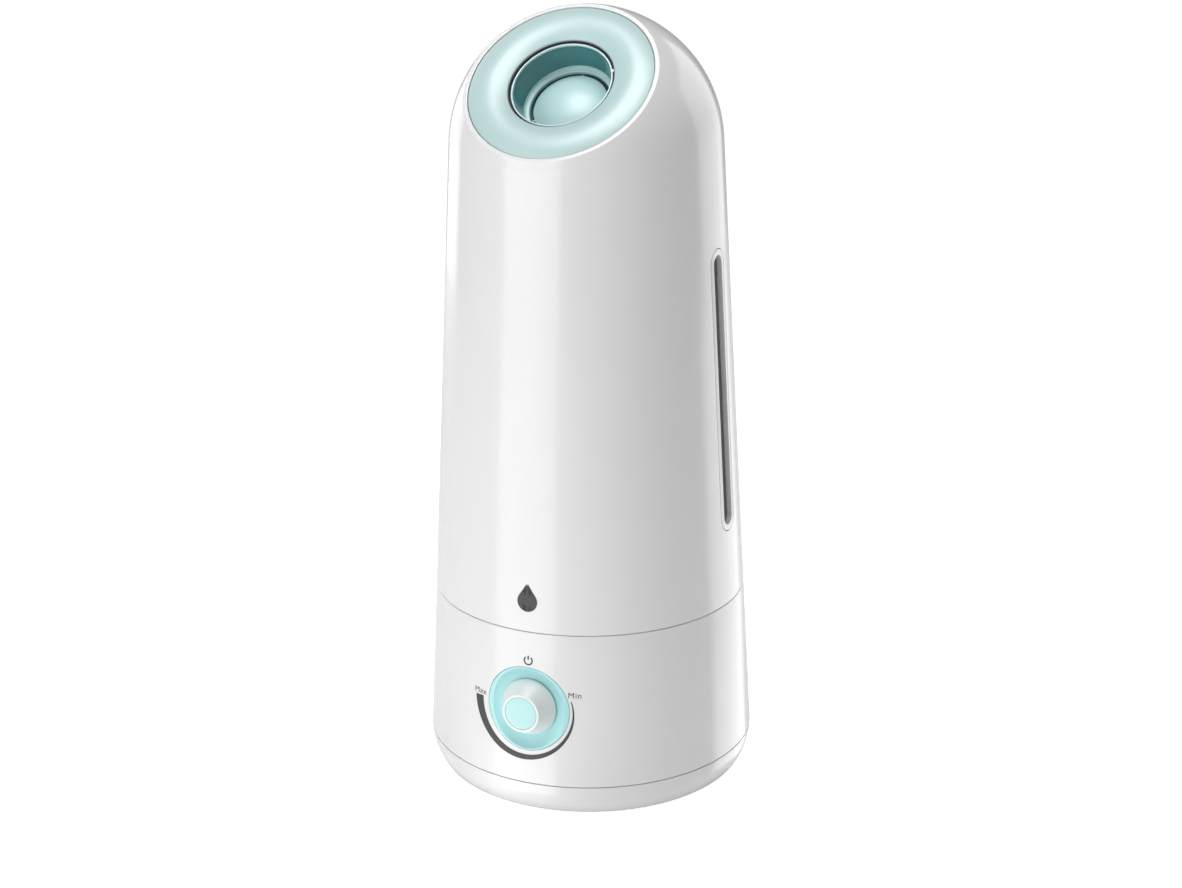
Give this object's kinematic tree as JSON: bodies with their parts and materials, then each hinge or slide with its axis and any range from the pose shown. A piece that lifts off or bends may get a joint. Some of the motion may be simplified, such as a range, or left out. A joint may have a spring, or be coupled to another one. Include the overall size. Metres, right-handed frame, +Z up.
{
  "type": "cool mist humidifier",
  "caption": "Tapered tower humidifier: lift-off water tank with a domed, slanted top, mint ring and turning mist nozzle, level window, and a base with a control knob.",
  "frame": {"origin": "on the tower's axis, on the surface it stands on", "axes": "+Z up along the tower's axis, -Y towards the front with the knob and the slanted face, +X towards the side with the level window"},
  "size_m": [0.2, 0.2089, 0.4633],
  "materials": {
    "white_shell": "smooth glossy white",
    "inner_white": "satin white",
    "mint": "glossy pale mint",
    "pearl": "glossy pearl white",
    "foot_rubber": "matt black",
    "silicone": "translucent grey",
    "black_plastic": "matt black",
    "smoked_lens": "smoked clear",
    "board_green": "solder mask",
    "copper": "enamelled copper",
    "steel": "plain",
    "aluminium": "plain",
    "disc_ceramic": "fired ceramic disc"
  },
  "bodies": {
    "base": {"base_shell": "white_shell", "bottom_pan": "white_shell", "foot_front_left": "foot_rubber", "foot_front_right": "foot_rubber", "foot_rear_left": "foot_rubber", "foot_rear_right": "foot_rubber", "pan_screw_1": "steel", "pan_screw_2": "steel", "pan_screw_3": "steel", "pan_screw_4": "steel", "water_tray": "inner_white", "tray_seal": "silicone", "transducer_disc": "disc_ceramic", "transducer_gasket": "silicone", "transducer_clamp": "steel", "float_sensor": "black_plastic", "fan_frame": "black_plastic", "fan_stator": "copper", "air_duct": "inner_white", "driver_board": "board_green", "heat_sink": "aluminium", "capacitor": "black_plastic", "transformer": "copper", "power_inlet": "black_plastic", "knob_dish": "mint", "rotary_switch": "aluminium", "switch_nut": "steel"},
    "knob": {"knob": "pearl", "knob_cap": "mint", "switch_shaft": "steel"},
    "fan_rotor": {"impeller": "inner_white"},
    "float": {"float": "silicone", "float_magnet": "black_plastic"},
    "tank": {"tank_shell": "white_shell", "tank_floor": "inner_white", "mist_duct": "inner_white", "top_plate": "inner_white", "top_ring": "mint", "window_bezel": "white_shell", "window_lens": "smoked_lens"},
    "nozzle_seat": {"nozzle_seal": "silicone"},
    "nozzle": {"nozzle_cup": "mint", "mist_dome": "mint"},
    "tank_cap": {"tank_cap": "inner_white", "cap_gasket": "silicone", "valve_spring": "steel"},
    "valve": {"valve_stem": "inner_white", "valve_washer": "silicone"}
  },
  "joints": [
    {"name": "tank_lift", "type": "slide", "parent": "base", "child": "tank", "axis": [0, 0, 1], "range_m": [0, 0.12]},
    {"name": "knob_turn", "type": "hinge", "parent": "base", "child": "knob", "pos_m": [0, -0.09737, 0.0681], "axis": [0, 0.9984, -0.0559], "range_deg": [0, 270]},
    {"name": "fan_spin", "type": "hinge", "parent": "base", "child": "fan_rotor", "pos_m": [0.05307, 0, 0.0123], "axis": [0, 0, 1], "continuous": true},
    {"name": "float_rise", "type": "slide", "parent": "base", "child": "float", "axis": [0, 0, 1], "range_m": [0, 0.008]},
    {"name": "nozzle_pull", "type": "slide", "parent": "tank", "child": "nozzle_seat", "axis": [0, -0.6652, 0.7466], "range_m": [0, 0.05]},
    {"name": "nozzle_turn", "type": "hinge", "parent": "nozzle_seat", "child": "nozzle", "pos_m": [0, 0, 0.3841], "axis": [0, -0.6652, 0.7466], "continuous": true},
    {"name": "cap_turn", "type": "hinge", "parent": "tank", "child": "tank_cap", "pos_m": [0, 0.05397, 0.106], "axis": [0, 0, 1], "range_deg": [0, 90]},
    {"name": "valve_push", "type": "slide", "parent": "tank_cap", "child": "valve", "axis": [0, 0, 1], "range_m": [0, 0.004], "stiffness_N_per_m": 150, "springref_m": -0.004, "deforming": ["valve_spring"]}
  ]
}
